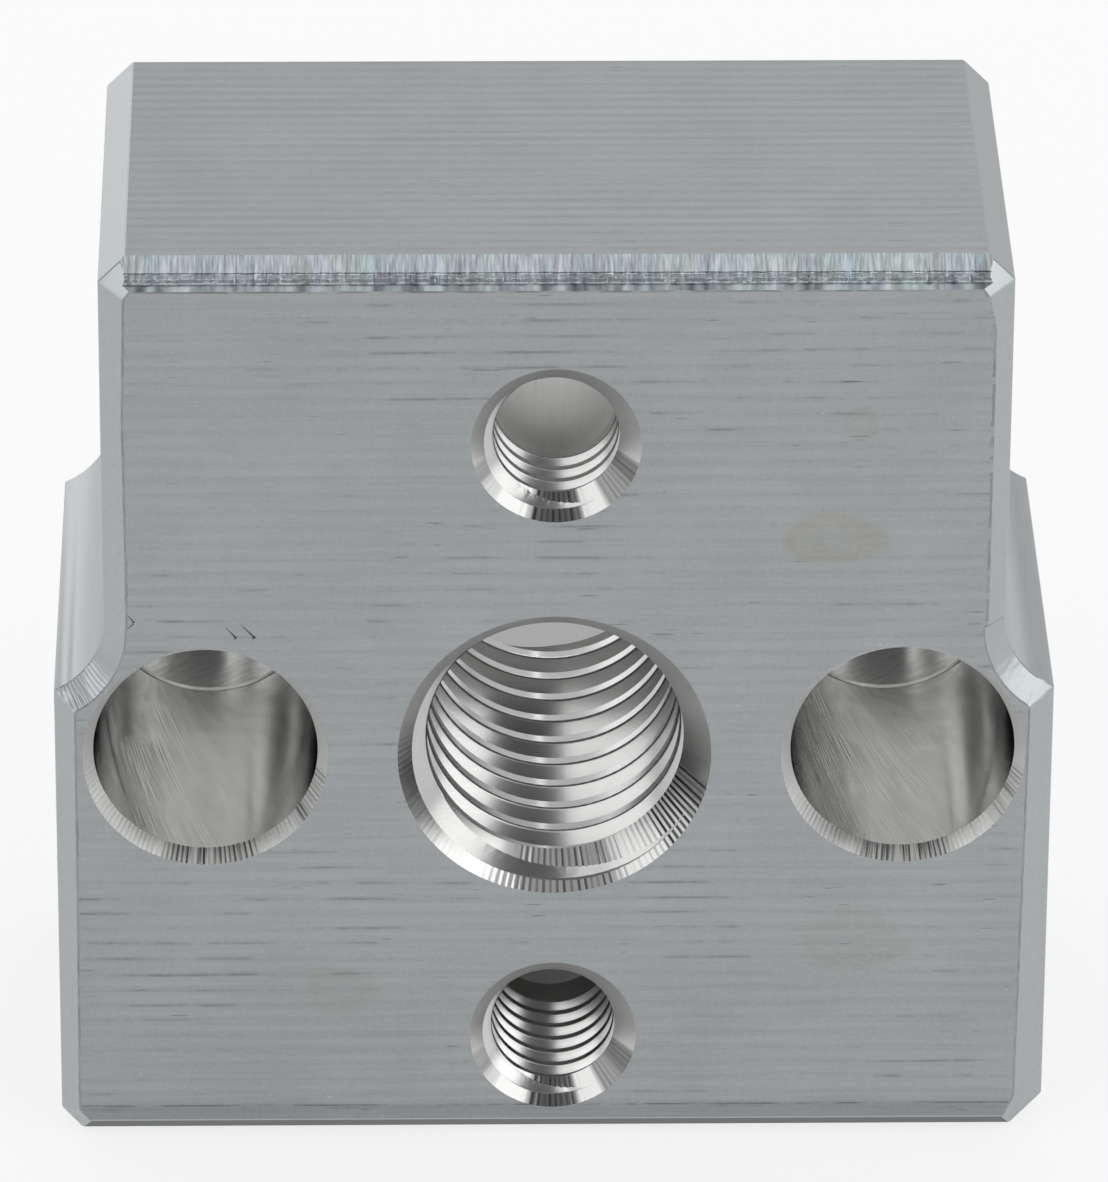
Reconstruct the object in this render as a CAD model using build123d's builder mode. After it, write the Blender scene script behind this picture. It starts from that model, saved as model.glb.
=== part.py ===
from build123d import *
from math import acos, cos, radians, sin, tan
import os

# A small block milled from one piece of aluminium. It stands on its bottom face.
# Its front face, with five holes in it, looks along -Y. The block is narrower above
# a shoulder on each side, and the cutter has left a round relief where the wall meets it.
# Millimetres, +Z up, origin in the middle of the bottom.

# Overall sizes
upper_width = 24.0
block_height = 26.2
block_depth = 13.2

# Shoulders: how far each one stands out below the upper part, the height at which it
# leaves the side face, and the radius of the relief that the cutter left above it
shoulder_width = 1.35
shoulder_height = 13.42
relief_radius = 2.25

# Chamfers on the long edges that run from front to back
top_side_chamfer = 0.7
bottom_left_chamfer = 0.55
bottom_right_chamfer = 0.85

# Chamfers round the front face, and the small edge break round the back face
front_side_chamfer = 0.6
front_top_chamfer = 0.72
front_bottom_chamfer = 0.46
back_edge_break = 0.25

# The side bores and the centre hole stand in one row at this height
hole_row_height = 11.68

# Two plain blind bores with flat floors, one at each side, with a narrow steep chamfer at the mouth
side_bore_spacing = 18.65
side_bore_radius = 3.0
side_bore_depth = 9.5
side_bore_rim_width = 0.27
side_bore_rim_depth = 0.45

# M8 thread through the middle, cut here at the radius over its crests, with a countersink
centre_thread_radius = 3.4
centre_rim_width = 0.79
centre_rim_depth = 1.05
centre_back_break = 0.2

# Two blind M4 threads above and below the row, also at the radius over their crests
small_thread_radius = 1.65
small_rim_width = 0.6
small_rim_depth = 0.6
upper_hole_rise = 9.25
upper_hole_depth = 3.0
lower_hole_drop = 8.6
lower_hole_depth = 5.7
drill_point_angle = 118.0

os.makedirs("parts", exist_ok=True)

# Places that follow from the sizes
upper_x = upper_width / 2
lower_x = upper_x + shoulder_width
front_y = -block_depth / 2
back_y = block_depth / 2
relief_turn = acos(1 - shoulder_width / relief_radius)
relief_top = shoulder_height + relief_radius * sin(relief_turn)
relief_centre_x = upper_x + relief_radius
drill_point_length = small_thread_radius / tan(radians(drill_point_angle / 2))
side_bore_rim_radius = side_bore_radius + side_bore_rim_width
centre_rim_radius = centre_thread_radius + centre_rim_width
centre_back_radius = centre_thread_radius + centre_back_break
small_rim_radius = small_thread_radius + small_rim_width
upper_hole_height = hole_row_height + upper_hole_rise
lower_hole_height = hole_row_height - lower_hole_drop


def relief_middle(side):
    """The point half way round the relief on one side, as x and z."""
    half_turn = relief_turn / 2
    x = relief_centre_x - relief_radius * cos(half_turn)
    return side * x, relief_top - relief_radius * sin(half_turn)


def revolved_cut(x, z, steps):
    """Cut a round hole into the front face from its steps of radius and depth."""
    mouth = Plane(origin=(x, front_y, z), x_dir=(1, 0, 0), z_dir=(0, 0, 1))
    floor_depth = steps[-1][1]
    corners = [(0, 0)] + steps
    if steps[-1][0] > 0:
        corners = corners + [(0, floor_depth)]
    with BuildSketch(mouth) as half_section:
        with BuildLine():
            Polyline(*corners, close=True)
        make_face()
    revolve(half_section.sketch, axis=Axis((x, front_y, z), (0, 1, 0)), mode=Mode.SUBTRACT)


def front_edge_chamfer(z, length, inwards):
    """Cut a chamfer along a front edge that runs from side to side at height z."""
    with BuildSketch(Plane.YZ) as corner:
        with BuildLine():
            Polyline((front_y, z), (front_y + length, z), (front_y, z + inwards * length), close=True)
        make_face()
    extrude(corner.sketch, amount=lower_x, both=True, mode=Mode.SUBTRACT)


with BuildPart() as block:
    # The stepped outline, drawn on the back face and extruded to the front
    with BuildSketch(Plane.XZ.offset(-back_y)):
        with BuildLine():
            Polyline(
                (upper_x, relief_top),
                (upper_x, block_height - top_side_chamfer),
                (upper_x - top_side_chamfer, block_height),
                (top_side_chamfer - upper_x, block_height),
                (-upper_x, block_height - top_side_chamfer),
                (-upper_x, relief_top),
            )
            ThreePointArc((-upper_x, relief_top), relief_middle(-1), (-lower_x, shoulder_height))
            Polyline(
                (-lower_x, shoulder_height),
                (-lower_x, bottom_left_chamfer),
                (bottom_left_chamfer - lower_x, 0),
                (lower_x - bottom_right_chamfer, 0),
                (lower_x, bottom_right_chamfer),
                (lower_x, shoulder_height),
            )
            ThreePointArc((lower_x, shoulder_height), relief_middle(1), (upper_x, relief_top))
        make_face()
    extrude(amount=block_depth)

    # The front chamfer follows each side of the outline, round the relief and the corners
    front_face = block.faces().sort_by(Axis.Y)[0]
    across = front_face.edges().filter_by(Axis.X)
    sides = [edge for edge in front_face.edges() if edge not in across]
    chamfer(sides, length=front_side_chamfer)
    front_edge_chamfer(block_height, front_top_chamfer, -1)
    front_edge_chamfer(0, front_bottom_chamfer, 1)
    chamfer(block.faces().sort_by(Axis.Y)[-1].edges(), length=back_edge_break)

    # Side bores with a narrow chamfer at the mouth
    bore_steps = [
        (side_bore_rim_radius, 0),
        (side_bore_radius, side_bore_rim_depth),
        (side_bore_radius, side_bore_depth),
    ]
    for side in (-1, 1):
        revolved_cut(side * side_bore_spacing / 2, hole_row_height, bore_steps)

    # Threaded hole through the middle, with its countersink and a broken edge at the back
    revolved_cut(
        0,
        hole_row_height,
        [
            (centre_rim_radius, 0),
            (centre_thread_radius, centre_rim_depth),
            (centre_thread_radius, block_depth - centre_back_break),
            (centre_back_radius, block_depth),
        ],
    )

    # Small threaded holes: the upper one has a flat floor, the lower one a drilled point
    revolved_cut(
        0,
        upper_hole_height,
        [
            (small_rim_radius, 0),
            (small_thread_radius, small_rim_depth),
            (small_thread_radius, upper_hole_depth),
        ],
    )
    revolved_cut(
        0,
        lower_hole_height,
        [
            (small_rim_radius, 0),
            (small_thread_radius, small_rim_depth),
            (small_thread_radius, lower_hole_depth),
            (0, lower_hole_depth + drill_point_length),
        ],
    )

block.part.label = "mounting_block"
export_step(block.part, "parts/mounting_block.step")
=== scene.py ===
# %% [markdown]
# A small block, machined from one piece of aluminium. It is narrower above a shoulder on each side, it
# has a chamfer round its front face, and five holes open in that face: a threaded hole right through the
# middle, a smaller threaded hole above and below it, and a plain blind bore at each side. The lesson
# makes the block the way a machinist does. A blank is cut to its outline, its edges are chamfered, and
# then each tool, drill, countersink, tap or chamfer cutter, is modelled and subtracted from it. The
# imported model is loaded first, because it says where the block stands and how large it is.

# %% Load the frame
import math

import bpy
from mathutils import Matrix, Vector, noise


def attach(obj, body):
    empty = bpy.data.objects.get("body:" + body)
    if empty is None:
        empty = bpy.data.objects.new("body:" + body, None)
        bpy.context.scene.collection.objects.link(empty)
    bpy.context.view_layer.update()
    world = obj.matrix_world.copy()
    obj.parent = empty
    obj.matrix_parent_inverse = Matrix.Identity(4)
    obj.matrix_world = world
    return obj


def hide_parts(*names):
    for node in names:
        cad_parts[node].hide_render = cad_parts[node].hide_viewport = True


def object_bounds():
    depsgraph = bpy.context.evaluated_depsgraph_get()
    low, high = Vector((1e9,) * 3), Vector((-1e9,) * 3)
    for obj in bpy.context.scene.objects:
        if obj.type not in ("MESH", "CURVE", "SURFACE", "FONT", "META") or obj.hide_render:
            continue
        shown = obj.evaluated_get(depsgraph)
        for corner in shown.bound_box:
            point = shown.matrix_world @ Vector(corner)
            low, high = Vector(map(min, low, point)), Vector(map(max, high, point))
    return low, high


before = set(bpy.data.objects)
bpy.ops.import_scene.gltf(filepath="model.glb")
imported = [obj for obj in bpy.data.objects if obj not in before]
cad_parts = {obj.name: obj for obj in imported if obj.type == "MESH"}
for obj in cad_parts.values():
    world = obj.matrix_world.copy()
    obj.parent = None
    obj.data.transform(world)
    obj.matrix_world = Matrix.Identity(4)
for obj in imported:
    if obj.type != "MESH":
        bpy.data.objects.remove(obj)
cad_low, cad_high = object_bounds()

MM = 0.001
TINY = 0.01 * MM
print("block in mm:", [round(side / MM, 2) for side in cad_high - cad_low])

# %% [markdown]
# The camera looks down on the front of the block from a little to its left, through a long lens, so that
# the edges stay nearly parallel. Its angles and distance were worked out from the block's edges and the
# rims of the holes. It aims at a point on the front face.

# %% Camera
view_down = math.radians(27.43)
view_turn = math.radians(1.22)
view_roll = math.radians(0.34)
view_distance = 266.0 * MM
view_lens = 305.9
aim = Vector((-0.04 * MM, cad_low.y, 16.65 * MM))

view_rotation = (
    Matrix.Rotation(-view_turn, 4, "Z")
    @ Matrix.Rotation(math.pi / 2 - view_down, 4, "X")
    @ Matrix.Rotation(view_roll, 4, "Z")
)
camera_place = aim + view_rotation @ Vector((0, 0, view_distance))
bpy.ops.object.camera_add(location=camera_place, rotation=view_rotation.to_euler())
camera = bpy.context.object
camera.data.lens = view_lens
camera.data.sensor_width = 36.0
camera.data.clip_start = 0.01
bpy.context.scene.camera = camera
print("camera at", [round(value / MM, 1) for value in camera_place], "mm")

# %% [markdown]
# Metal shows what is around it more than its own colour, so the studio is part of the finish. The block
# stands on a pale floor in a pale room. Large soft lamps stand to the left and right of the camera and
# over the block, and the place of the camera itself is dark, as it is in a real studio: that dark gap is
# what makes the stripes down the threads.

# %% Studio settings
scene = bpy.context.scene
scene.view_settings.view_transform = "Standard"
room_level = 0.55
floor_colour = (0.88, 0.885, 0.88, 1)
white_share = 0.8
white_level = 0.98
floor_size = 3.0


def new_material(name):
    """A material with an empty node tree that ends in a Principled shader."""
    material = bpy.data.materials.new(name)
    material.use_nodes = True
    tree = material.node_tree
    tree.nodes.clear()
    shader = tree.nodes.new("ShaderNodeBsdfPrincipled")
    output = tree.nodes.new("ShaderNodeOutputMaterial")
    tree.links.new(shader.outputs["BSDF"], output.inputs["Surface"])
    return material, tree, shader


def direction(azimuth, elevation):
    """A unit vector away from the block. Azimuth 0 is toward the camera, and positive is to the right."""
    turn = math.radians(azimuth)
    rise = math.radians(elevation)
    return Vector((math.sin(turn) * math.cos(rise), -math.cos(turn) * math.cos(rise), math.sin(rise)))


def facing(toward):
    """The rotation of a lamp or card whose face looks along the given direction."""
    return toward.to_track_quat("-Z", "Y").to_euler()


# %% [markdown]
# Materials are networks of nodes. A few helpers let each network be written as a calculation, so that the
# finishes below read like recipes.

# %% Helpers for node trees


def add_node(tree, kind, values=None, **settings):
    """Add a node. Its inputs take plain values, or links when the value is another node's output."""
    made = tree.nodes.new(kind)
    for name, setting in settings.items():
        setattr(made, name, setting)
    for name, value in (values or {}).items():
        socket = made.inputs[name]
        if isinstance(value, bpy.types.NodeSocket):
            tree.links.new(value, socket)
        else:
            socket.default_value = value
    return made


def calc(tree, operation, first, second=0.0):
    """One step of arithmetic."""
    return add_node(tree, "ShaderNodeMath", {0: first, 1: second}, operation=operation).outputs[0]


def add_up(tree, *terms):
    """The sum of values, each times its own factor."""
    total = None
    for value, factor in terms:
        part = calc(tree, "MULTIPLY", value, factor)
        total = part if total is None else calc(tree, "ADD", total, part)
    return total


def distance(tree, value, target):
    """How far a value is from its target."""
    return calc(tree, "ABSOLUTE", calc(tree, "SUBTRACT", value, target))


def split(tree, vector):
    """The three coordinates of a place."""
    return add_node(tree, "ShaderNodeSeparateXYZ", {"Vector": vector}).outputs


def joined(tree, x, y, z=0.0):
    """A place from its coordinates."""
    return add_node(tree, "ShaderNodeCombineXYZ", {"X": x, "Y": y, "Z": z}).outputs["Vector"]


def vector_step(tree, operation, values):
    """One step of arithmetic on all three parts of a vector or colour."""
    return add_node(tree, "ShaderNodeVectorMath", values, operation=operation).outputs["Vector"]


def rescale(tree, value, low, high, new_low=0.0, new_high=1.0):
    """Bring the range from low to high to a new range, and hold it there."""
    ranges = {"Value": value, "From Min": low, "From Max": high, "To Min": new_low, "To Max": new_high}
    return add_node(tree, "ShaderNodeMapRange", ranges).outputs["Result"]


def noise_value(tree, vector, scale, detail=2.0, roughness=0.5):
    """Smooth noise from 0 to 1 with a mean of one half."""
    values = {"Vector": vector, "Scale": scale, "Detail": detail, "Roughness": roughness}
    return add_node(tree, "ShaderNodeTexNoise", values).outputs["Fac"]


def stretched(tree, vector, scale, turn=(0.0, 0.0, 0.0)):
    """The same place in a pattern space that is turned and stretched."""
    values = {"Vector": vector, "Rotation": turn, "Scale": scale}
    return add_node(tree, "ShaderNodeMapping", values).outputs["Vector"]


def new_group(name, inputs, outputs):
    """A node group with named inputs and their usual values, and named outputs."""
    group = bpy.data.node_groups.new(name, "ShaderNodeTree")
    for label, value in inputs.items():
        kind = "NodeSocketVector" if isinstance(value, tuple) else "NodeSocketFloat"
        socket = group.interface.new_socket(label, in_out="INPUT", socket_type=kind)
        socket.default_value = value
    for label in outputs:
        group.interface.new_socket(label, in_out="OUTPUT", socket_type="NodeSocketFloat")
    start = group.nodes.new("NodeGroupInput")
    end = group.nodes.new("NodeGroupOutput")
    return group, start, end


def use_group(tree, group, values):
    """Place a node group in a tree with its own values."""
    return add_node(tree, "ShaderNodeGroup", values, node_tree=group)


# %% [markdown]
# The background of a product photo is almost white, but a floor that really is white would light the
# block from below. So the floor keeps a pale colour for the light that falls on it, and it is blended
# with plain white only for the rays that look at it: those of the camera, and those that the metal
# mirrors. Part of the pale colour stays in the blend, and with it the soft shadow under the block.

# %% Floor and room
world = bpy.data.worlds.new("pale_room")
scene.world = world
world.use_nodes = True
world.node_tree.nodes["Background"].inputs["Color"].default_value = (room_level, room_level, room_level, 1)

bpy.ops.mesh.primitive_plane_add(size=floor_size, location=(0, 0, -TINY))
floor = bpy.context.object
floor.name = "floor"
floor_material, tree, shader = new_material("pale_floor")
shader.inputs["Base Color"].default_value = floor_colour
shader.inputs["Roughness"].default_value = 0.9
shader.inputs["Specular IOR Level"].default_value = 0.1
rays = add_node(tree, "ShaderNodeLightPath").outputs
mirrored = calc(tree, "MAXIMUM", rays["Is Glossy Ray"], rays["Is Transmission Ray"])
seen = calc(tree, "MAXIMUM", rays["Is Camera Ray"], mirrored)
white = add_node(tree, "ShaderNodeEmission", {"Color": (white_level, white_level, white_level, 1)})
seen_share = calc(tree, "MULTIPLY", seen, white_share)
blended = {"Fac": seen_share, 1: shader.outputs["BSDF"], 2: white.outputs["Emission"]}
blend = add_node(tree, "ShaderNodeMixShader", blended)
output = next(node for node in tree.nodes if node.type == "OUTPUT_MATERIAL")
tree.links.new(blend.outputs["Shader"], output.inputs["Surface"])
floor.data.materials.append(floor_material)
print("floor seen at", white_share * white_level, "of white")

# %% [markdown]
# The two large lamps light the front and draw white stripes in the threads. The others stand behind the
# block: one over it lights the top, two low ones light the reliefs and the side faces, and a very small
# one is mirrored by the crests of the large thread as a row of bright specks.

# %% Soft lamps
middle = (cad_low + cad_high) / 2
lamp_distance = 0.60


def soft_lamp(name, azimuth, elevation, width, height, level, away=lamp_distance):
    """A rectangular lamp that faces the block, as bright in a mirror as the level says."""
    toward = direction(azimuth, elevation)
    bpy.ops.object.light_add(type="AREA", location=middle + toward * away, rotation=facing(-toward))
    lamp = bpy.context.object
    lamp.name = name
    lamp.data.shape = "RECTANGLE"
    lamp.data.size = width
    lamp.data.size_y = height
    lamp.data.energy = 4 * width * height * level
    print(name, "gives", round(lamp.data.energy, 3), "W")


soft_lamp("left_lamp", azimuth=-46, elevation=30, width=0.84, height=0.55, level=0.74)
soft_lamp("right_lamp", azimuth=62, elevation=30, width=0.87, height=0.55, level=0.96)
soft_lamp("top_lamp", azimuth=180, elevation=66, width=0.50, height=0.26, level=1.3)
soft_lamp("back_left_lamp", azimuth=-156, elevation=8, width=0.30, height=0.24, level=0.62)
soft_lamp("back_lamp", azimuth=180, elevation=30, width=1.1, height=0.55, level=0.20, away=0.75)
soft_lamp("small_lamp", azimuth=174, elevation=27, width=0.014, height=0.050, level=4.0)

# %% [markdown]
# Three cards finish the studio. Two dark ones make the gap between the large lamps. The upper one is narrow
# and gives the flanks of the threads their dark stripe. The lower one is wider and darkens the floors of the
# bores. The camera looks through both. A small grey card lies on the floor behind the block, where the
# camera sees it through the large hole: it is a painted shadow, a grey patch that stands in for the floor's
# shade behind the block.

# %% Cards


def add_card(name, place, turn, width, height, grey):
    """A flat rectangle of one grey."""
    bpy.ops.mesh.primitive_plane_add(size=1, location=place, rotation=turn)
    card = bpy.context.object
    card.name = name
    card.scale = (width, height, 1)
    material, tree, shader = new_material(name)
    shader.inputs["Base Color"].default_value = (grey, grey, grey, 1)
    shader.inputs["Roughness"].default_value = 0.9
    card.data.materials.append(material)
    return card


card_distance = 0.40


def add_dark_card(name, azimuth, elevation, width, height, grey):
    """A card before the block that only the metal and the light see."""
    toward = direction(azimuth, elevation)
    card = add_card(name, middle + toward * card_distance, facing(-toward), width, height, grey)
    card.visible_camera = False


add_dark_card("upper_dark_card", azimuth=8, elevation=34.5, width=0.245, height=0.135, grey=0.08)
add_dark_card("lower_dark_card", azimuth=-1.5, elevation=14, width=0.33, height=0.155, grey=0.20)
# The grey card is a painted shadow: a grey patch in place of the shaded floor seen through the large hole.
seen_through_hole = Vector((0, cad_high.y + 17 * MM, TINY))
add_card("painted_shadow_card", seen_through_hole, (0, 0, 0), width=8 * MM, height=10 * MM, grey=0.41)

# %% [markdown]
# Each surface of the block was left by another tool, so each gets a finish of its own: straight milling
# lines on the flat faces, smooth bright chamfers, brushed bore walls and polished threads. They share one
# metal. What several finishes use, such as milling lines or dashes and specks, is a node group that is built
# once.
# All patterns are laid out in millimetres on the block itself.

# %% [markdown]
# A milling cutter leaves one line for each step that the table moves. The lines are never all alike: some
# are deeper, they wander a little, and they fade in patches where the cutter ran more smoothly. Between
# two lines a thin dark groove comes and goes. In this group the lines run along X, and they follow each
# other along Y. Noise on the number of a groove breaks each one in its own places.

# %% Milling lines
lines_group, start, end = new_group(
    "milling_lines",
    {"Vector": (0.0, 0.0, 0.0), "Spacing": 0.47, "Wander": 0.5, "Patches": 0.7},
    ["Height", "Grooves"],
)
tree = lines_group
place = start.outputs["Vector"]
along, across, _ = split(tree, place)
drift = noise_value(tree, stretched(tree, place, (0.06, 0.3, 0.3)), 1.0)
drift = calc(tree, "MULTIPLY", calc(tree, "SUBTRACT", drift, 0.5), start.outputs["Wander"])
phase = calc(tree, "ADD", calc(tree, "DIVIDE", across, start.outputs["Spacing"]), drift)
wave = calc(tree, "SINE", calc(tree, "MULTIPLY", phase, 2 * math.pi))
line_number = calc(tree, "FLOOR", calc(tree, "ADD", phase, 0.25))
own = add_node(tree, "ShaderNodeTexWhiteNoise", {"W": line_number}, noise_dimensions="1D").outputs["Value"]
fading = noise_value(tree, stretched(tree, place, (0.16, 0.45, 0.3)), 1.0, 3.0)
fading = rescale(tree, fading, 0.40, 0.60)
plain = calc(tree, "SUBTRACT", 1.0, start.outputs["Patches"])
fading = calc(tree, "ADD", plain, calc(tree, "MULTIPLY", fading, start.outputs["Patches"]))
strength = calc(tree, "MULTIPLY", rescale(tree, own, 0.0, 1.0, 0.3, 1.0), fading)
tree.links.new(calc(tree, "MULTIPLY", wave, strength), end.inputs["Height"])
groove_number = calc(tree, "FLOOR", calc(tree, "ADD", phase, 0.75))
on_groove = joined(tree, calc(tree, "MULTIPLY", along, 0.55), calc(tree, "MULTIPLY", groove_number, 3.7))
gathered = noise_value(tree, stretched(tree, place, (0.20, 0.16, 0.2)), 1.0, 2.0)
broken = calc(tree, "ADD", noise_value(tree, on_groove, 1.0, 3.0, 0.6), gathered)
groove = calc(tree, "MULTIPLY", rescale(tree, wave, -0.76, -0.97), rescale(tree, broken, 1.05, 1.24))
tree.links.new(groove, end.inputs["Grooves"])

# %% [markdown]
# Chips that are dragged along leave dark dashes of all lengths. They come from noise that is drawn out
# along the cutting direction: only its highest parts are kept, and a second, slow noise gathers them in
# patches. Specks are tiny bright dents, made in the same way from fine noise.

# %% Dashes and specks
dashes_group, start, end = new_group(
    "dashes_and_specks",
    {"Vector": (0.0, 0.0, 0.0), "Amount": 0.5, "Length": 1.2, "Width": 0.09},
    ["Dashes", "Specks"],
)
tree = dashes_group
place = start.outputs["Vector"]
along, across, _ = split(tree, place)
drawn_along = calc(tree, "DIVIDE", along, start.outputs["Length"])
drawn = joined(tree, drawn_along, calc(tree, "DIVIDE", across, start.outputs["Width"]))
patches = noise_value(tree, place, 0.30, 2.0)
lift = calc(tree, "MULTIPLY", calc(tree, "SUBTRACT", patches, 0.5), 0.35)
amount = calc(tree, "MULTIPLY", start.outputs["Amount"], 0.12)
level = calc(tree, "ADD", calc(tree, "ADD", noise_value(tree, drawn, 1.0, 1.5), lift), amount)
fine = noise_value(tree, place, 5.5, 1.0)
fine = calc(tree, "ADD", fine, calc(tree, "MULTIPLY", amount, 0.4))
tree.links.new(rescale(tree, level, 0.74, 0.80), end.inputs["Dashes"])
tree.links.new(rescale(tree, fine, 0.80, 0.84), end.inputs["Specks"])

# %% [markdown]
# Brushed metal is noise that is drawn out in one direction. The stretch decides how long the streaks are
# and how close they lie.

# %% Streaks
streaks_group, start, end = new_group(
    "streaks",
    {"Vector": (0.0, 0.0, 0.0), "Length": 2.0, "Width": 0.06},
    ["Value"],
)
tree = streaks_group
along, across, deep = split(tree, start.outputs["Vector"])
drawn_along = calc(tree, "DIVIDE", along, start.outputs["Length"])
drawn_across = calc(tree, "DIVIDE", across, start.outputs["Width"])
drawn = joined(tree, drawn_along, drawn_across, calc(tree, "DIVIDE", deep, start.outputs["Width"]))
streak = calc(tree, "SUBTRACT", noise_value(tree, drawn, 1.0, 3.0), 0.5)
tree.links.new(streak, end.inputs["Value"])

# %% [markdown]
# A drill or reamer leaves its scratches along the wall of the hole, a little slanted because it turns as
# it goes in. For that the pattern space is bent round the hole's axis: one coordinate runs round the wall
# and one runs into the depth. The group also gives the distance from the axis and the angle round it,
# which is 0 straight below the axis and grows toward the right.

# %% A pattern space round a hole
round_group, start, end = new_group(
    "round_a_hole",
    {"Vector": (0.0, 0.0, 0.0), "Centre X": 0.0, "Centre Z": 0.0, "Slant": 0.3},
    ["Round", "Depth", "Radius", "Turn"],
)
tree = round_group
x, depth, z = split(tree, start.outputs["Vector"])
out = calc(tree, "SUBTRACT", x, start.outputs["Centre X"])
up = calc(tree, "SUBTRACT", z, start.outputs["Centre Z"])
angle = calc(tree, "ARCTAN2", out, calc(tree, "MULTIPLY", up, -1.0))
squares = calc(tree, "ADD", calc(tree, "POWER", out, 2.0), calc(tree, "POWER", up, 2.0))
radius = calc(tree, "SQRT", squares)
travel = calc(tree, "MULTIPLY", angle, radius)
slanted = calc(tree, "ADD", travel, calc(tree, "MULTIPLY", depth, start.outputs["Slant"]))
tree.links.new(slanted, end.inputs["Round"])
tree.links.new(depth, end.inputs["Depth"])
tree.links.new(radius, end.inputs["Radius"])
tree.links.new(angle, end.inputs["Turn"])

# %% [markdown]
# The finishes of the holes are laid out round the axes of the holes, so their places and sizes come
# first. The two bores and the large thread stand in one row. A small threaded hole lies above the row and
# one below it.

# %% Where the holes are
hole_row_z = 11.68 * MM
bore_x = 18.65 / 2 * MM
upper_hole_z = hole_row_z + 9.25 * MM
lower_hole_z = hole_row_z - 8.6 * MM
mouth_overrun = 0.25 * MM

bore_radius = 3.0 * MM
bore_depth = 9.5 * MM
bore_rim_width = 0.27 * MM
bore_rim_depth = 0.45 * MM
bore_floor_break = 0.06 * MM

centre_radius = 3.4 * MM
centre_root_radius = 4.0 * MM
centre_pitch = 1.25 * MM
centre_rim_width = 0.79 * MM
centre_rim_depth = 1.05 * MM
centre_back_break = 0.2 * MM

small_radius = 1.65 * MM
small_root_radius = 2.0 * MM
small_pitch = 0.7 * MM
small_rim_width = 0.6 * MM
small_rim_depth = 0.6 * MM
upper_hole_depth = 3.0 * MM
lower_hole_depth = 5.7 * MM
drill_half_angle = math.radians(59)
print("heights of the holes in mm:", [round(z / MM, 2) for z in (upper_hole_z, hole_row_z, lower_hole_z)])

# %% [markdown]
# Every finish below is the same bare metal. It differs in how rough it is, how its marks run and how much
# they change its tone. Heights are in millimetres, and one Bump node turns them into slopes.

# %% The metal
metal_tint = Vector((0.955, 1.005, 1.03))
warm_tint = Vector((1.0, 1.005, 0.99))
stain_tint = (-0.03, -0.07, -0.16)


def metal_finish(name, rough):
    """A bare metal with its roughness on the shader, and the place on the block in millimetres."""
    material, tree, shader = new_material(name)
    shader.inputs["Metallic"].default_value = 1.0
    shader.inputs["Roughness"].default_value = rough
    place = add_node(tree, "ShaderNodeTexCoord").outputs["Object"]
    place = stretched(tree, place, (1 / MM, 1 / MM, 1 / MM))
    return material, tree, shader, place


def set_tone(tree, shader, tone, change, stain=None):
    """Lighten or darken the metal by a share that changes over the surface, and brown it where stained."""
    metal = vector_step(tree, "SCALE", {0: tone, "Scale": calc(tree, "ADD", change, 1.0)})
    if stain is not None:
        brown = vector_step(tree, "MULTIPLY_ADD", {0: stain, 1: stain_tint, 2: (1.0, 1.0, 1.0)})
        metal = vector_step(tree, "MULTIPLY", {0: metal, 1: brown})
    tree.links.new(metal, shader.inputs["Base Color"])


def set_height(tree, shader, height):
    """Slopes from a height in millimetres."""
    bump = add_node(tree, "ShaderNodeBump", {"Height": height, "Distance": MM})
    tree.links.new(bump.outputs["Normal"], shader.inputs["Normal"])


def streaks_of(tree, place, length, width):
    """Streaks along X with a given length and width, from about -0.5 to 0.5."""
    values = {"Vector": place, "Length": length, "Width": width}
    return use_group(tree, streaks_group, values).outputs["Value"]


def round_axis(tree, place, x, z, slant=0.0):
    """The pattern space round the hole whose axis stands at x and z."""
    centre = {"Centre X": x / MM, "Centre Z": z / MM}
    return use_group(tree, round_group, {"Vector": place, "Slant": slant, **centre}).outputs


# %% [markdown]
# The front has marks of its own besides the milling lines. A fine line crosses it near its top and near its
# bottom, where the cutter stopped. The strip at its foot is darker, the face grows a little darker toward
# the bottom below about eight millimetres, and a few faint stains were left by drops of coolant. Each stain
# is an oval with a darker rim, and noise makes its outline uneven.

# %% Marks on the front
tool_lines = [(0.91, -0.35), (25.44, -0.45)]
foot_strip = (1.2, 0.8)
foot_tone = -0.18
lower_part = (8.0, 4.0)
lower_tone = -0.035
stains = [
    (7.35, 18.2, 1.2, 0.7, 1.0),
    (8.05, 21.5, 0.4, 0.45, 0.7),
    (8.0, 6.0, 1.4, 0.8, 0.6),
    (-5.8, 4.5, 0.9, 0.7, 0.7),
]


def front_marks(tree, place):
    """The tones of the marks that change with the height, each with its strength."""
    height = split(tree, place)["Z"]
    broken = rescale(tree, noise_value(tree, stretched(tree, place, (1.3, 1.0, 8.0)), 1.0), 0.42, 0.58)
    tones = [
        (rescale(tree, height, *foot_strip), foot_tone),
        (rescale(tree, height, *lower_part), lower_tone),
    ]
    for line_at, strength in tool_lines:
        line = rescale(tree, distance(tree, height, line_at), 0.035, 0.015)
        tones.append((calc(tree, "MULTIPLY", line, broken), strength))
    return tones


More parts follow.
